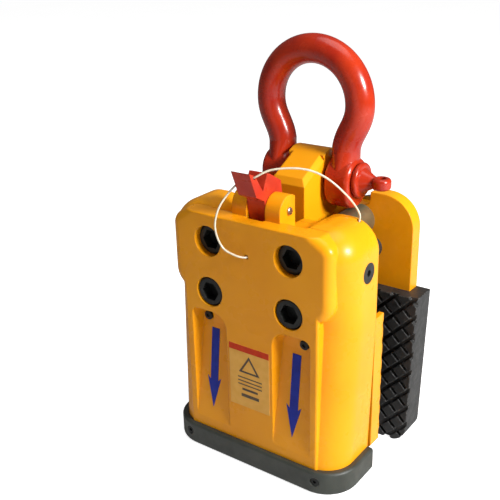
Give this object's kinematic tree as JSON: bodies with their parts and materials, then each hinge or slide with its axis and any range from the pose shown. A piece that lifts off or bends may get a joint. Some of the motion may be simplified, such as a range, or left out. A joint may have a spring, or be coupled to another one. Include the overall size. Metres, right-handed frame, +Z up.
{
  "type": "vertical slab lifting clamp",
  "caption": "Two-jaw gravity clamp for lifting stone slabs: rubber-padded jaws, wedge casing, screw-pin bow shackle and hand latch.",
  "frame": {"origin": "on the ground, under the middle of the clamp's bounding box", "axes": "+X across the clamp to the right seen from the casing's front, +Y from the casing towards the rear jaw, +Z up"},
  "size_m": [0.188, 0.1458, 0.3346],
  "materials": {
    "yellow_paint": "gloss",
    "black_screws": "satin black oxide",
    "zinc_steel": "zinc plated",
    "bar_steel": "machined",
    "ground_steel": "ground",
    "spring_steel": "oiled",
    "bronze": "bearing bronze",
    "black_rubber": "matt",
    "foot_rubber": "matt dark grey",
    "red_shackle_paint": "gloss",
    "red_latch_paint": "gloss",
    "wire_sleeve": "clear sleeve over thin wire",
    "arrow_blue": "self-adhesive film",
    "label_tan": "self-adhesive film"
  },
  "bodies": {
    "casing": {"casing_shell": "yellow_paint", "casing_back_cover": "yellow_paint", "cover_screws": "black_screws", "side_screws": "black_screws", "front_wear_plate": "zinc_steel", "lug_guide_blocks": "bronze", "guide_block_screws": "black_screws", "foot_bumper": "foot_rubber", "foot_screws": "black_screws", "tie_bolts_upper": "black_screws", "tie_bolts_lower": "black_screws", "tie_bars_upper": "bar_steel", "tie_bars_lower": "bar_steel", "rear_tie_bolts": "zinc_steel", "rear_tie_washers": "zinc_steel", "rear_jaw_plate": "yellow_paint", "rear_pad": "black_rubber", "rear_pad_screws": "black_screws", "slab_buffers": "black_rubber", "buffer_screws": "black_screws", "guide_bushings": "bronze", "spring_posts_front": "ground_steel", "latch_pin": "zinc_steel", "latch_spring": "spring_steel", "release_wire": "wire_sleeve", "arrow_decals": "arrow_blue", "label_plate": "label_tan", "channel_screws": "black_screws"},
    "lug": {"lifting_lug": "yellow_paint"},
    "jaw": {"front_jaw_plate": "yellow_paint", "front_pad": "black_rubber", "front_pad_screws": "black_screws", "roller_brackets": "zinc_steel", "bracket_screws": "black_screws", "roller_pins": "ground_steel", "pin_clips": "zinc_steel", "jaw_guide_rods": "ground_steel", "spring_posts_rear": "ground_steel", "jaw_return_springs": "spring_steel"},
    "roller_upper": {"cam_roller_upper": "ground_steel"},
    "roller_lower": {"cam_roller_lower": "ground_steel"},
    "shackle": {"shackle_bow": "red_shackle_paint"},
    "pin": {"shackle_pin": "red_shackle_paint"},
    "latch": {"latch_lever": "red_latch_paint"}
  },
  "joints": [
    {"name": "lug_slide", "type": "slide", "parent": "casing", "child": "lug", "axis": [0, 0, 1], "range_m": [0, 0.036]},
    {"name": "jaw_slide", "type": "slide", "parent": "casing", "child": "jaw", "axis": [0, 1, 0], "range_m": [0, 0.028], "deforming": ["jaw_return_springs"]},
    {"name": "roller_upper_spin", "type": "hinge", "parent": "jaw", "child": "roller_upper", "pos_m": [0, -0.03314, 0.11264], "axis": [1, 0, 0], "range_deg": [-350, 0]},
    {"name": "roller_lower_spin", "type": "hinge", "parent": "jaw", "child": "roller_lower", "pos_m": [0, -0.03314, 0.06864], "axis": [1, 0, 0], "range_deg": [-350, 0]},
    {"name": "shackle_swing", "type": "hinge", "parent": "lug", "child": "shackle", "pos_m": [0, 0.03239, 0.226], "axis": [1, 0, 0], "range_deg": [-75, 60]},
    {"name": "shackle_pin_turn", "type": "hinge", "parent": "shackle", "child": "pin", "pos_m": [0, 0.03239, 0.226], "axis": [1, 0, 0], "range_deg": [0, 360]},
    {"name": "latch_tilt", "type": "hinge", "parent": "casing", "child": "latch", "pos_m": [0, -0.03611, 0.217], "axis": [1, 0, 0], "range_deg": [-30, 5], "deforming": ["release_wire"]}
  ],
  "couplings": [
    {"joint": "jaw_slide", "follows": "lug_slide", "ratio": 0.77778},
    {"joint": "roller_upper_spin", "follows": "lug_slide", "rad_per_m": -168.9},
    {"joint": "roller_lower_spin", "follows": "lug_slide", "rad_per_m": -168.9}
  ]
}
